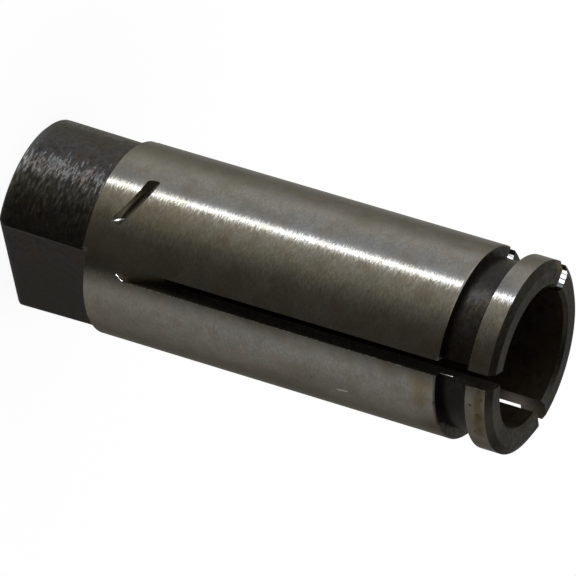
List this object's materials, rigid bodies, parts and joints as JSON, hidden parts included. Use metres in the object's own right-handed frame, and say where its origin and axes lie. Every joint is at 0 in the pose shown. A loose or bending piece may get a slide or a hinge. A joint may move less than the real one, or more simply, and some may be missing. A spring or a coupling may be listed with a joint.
{
  "type": "tap collet",
  "caption": "One-piece split sleeve that grips a hand tap: ground body, long saw slots from a collared nose, and a tang with two flats at the rear.",
  "frame": {"origin": "centre of the tang's rear face, on which the collet stands", "axes": "+Z along the axis from the tang to the nose, +X square to the first flat of the tang"},
  "size_m": [0.019, 0.019, 0.0532],
  "materials": {
    "steel": "body and collar ground bright round the axis, everything else left black from hardening, a little brown rust"
  },
  "bodies": {
    "root": {"collet": "steel"}
  },
  "joints": []
}
